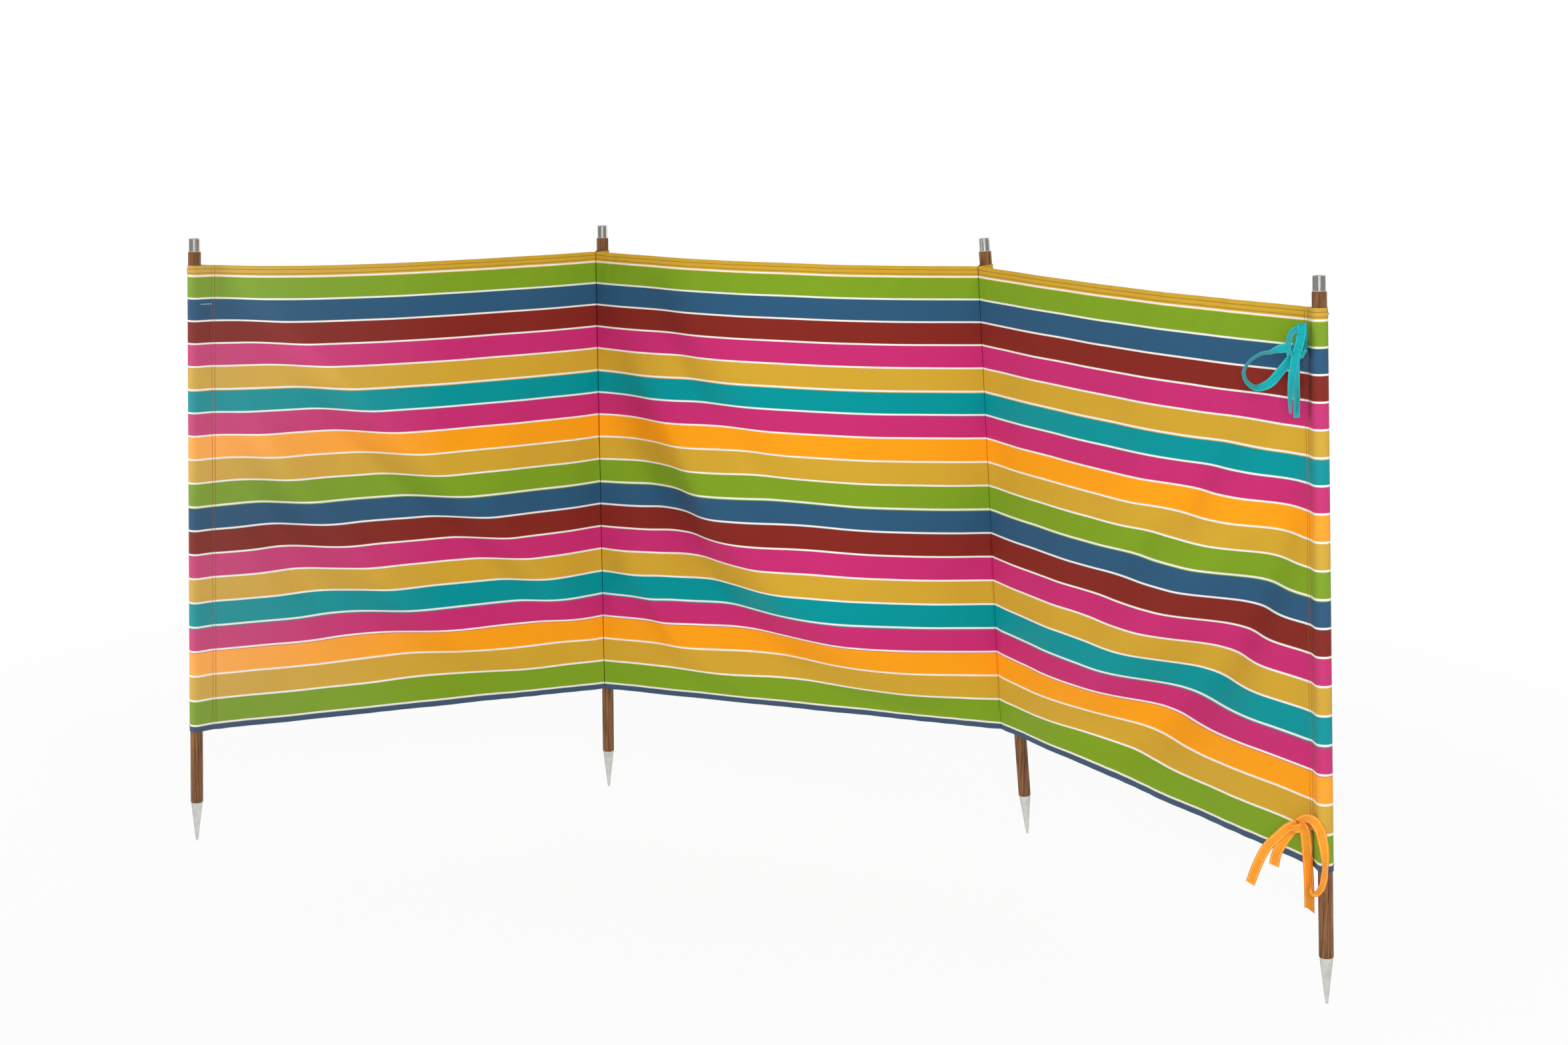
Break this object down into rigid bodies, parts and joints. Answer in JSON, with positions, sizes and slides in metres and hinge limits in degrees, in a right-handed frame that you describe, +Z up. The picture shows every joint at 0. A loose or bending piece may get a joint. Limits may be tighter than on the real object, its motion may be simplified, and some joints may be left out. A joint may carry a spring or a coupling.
{
  "type": "beach windbreak",
  "caption": "Striped canvas windbreak in bays between planted wooden poles with metal caps and ground spikes; sleeved at each pole, with tape ties at one end.",
  "frame": {"origin": "flat tip of the left middle pole's spike", "axes": "+Z up along the left middle pole, +X to the right along the bays, -Y towards the sheltered side"},
  "size_m": [2.5992, 1.3707, 1.5002],
  "materials": {
    "hardwood": "oiled, open straight grain",
    "cap_steel": "polished drawn cup",
    "spike_steel": "satin turned metal",
    "canvas": "woven deck-chair canvas in even coloured stripes with pale lines between",
    "top_hem": "folded canvas hem, mustard",
    "bottom_hem": "folded canvas hem, blue",
    "teal_tape": "sewn canvas tape, teal",
    "orange_tape": "sewn canvas tape, orange"
  },
  "bodies": {
    "root": {"left_end_shaft": "hardwood", "left_end_cap": "cap_steel", "left_end_spike": "spike_steel", "left_end_sleeve": "canvas", "left_mid_shaft": "hardwood", "left_mid_cap": "cap_steel", "left_mid_spike": "spike_steel", "left_mid_sleeve": "canvas", "right_mid_shaft": "hardwood", "right_mid_cap": "cap_steel", "right_mid_spike": "spike_steel", "right_mid_sleeve": "canvas", "right_end_shaft": "hardwood", "right_end_cap": "cap_steel", "right_end_spike": "spike_steel", "right_end_sleeve": "canvas", "left_panel": "canvas", "left_top_hem": "top_hem", "left_bottom_hem": "bottom_hem", "middle_panel": "canvas", "middle_top_hem": "top_hem", "middle_bottom_hem": "bottom_hem", "right_panel": "canvas", "right_top_hem": "top_hem", "right_bottom_hem": "bottom_hem", "upper_tie_knot": "teal_tape", "upper_tie_loops": "teal_tape", "upper_tie_tails": "teal_tape", "lower_tie_knot": "orange_tape", "lower_tie_loops": "orange_tape", "lower_tie_tails": "orange_tape"}
  },
  "joints": []
}
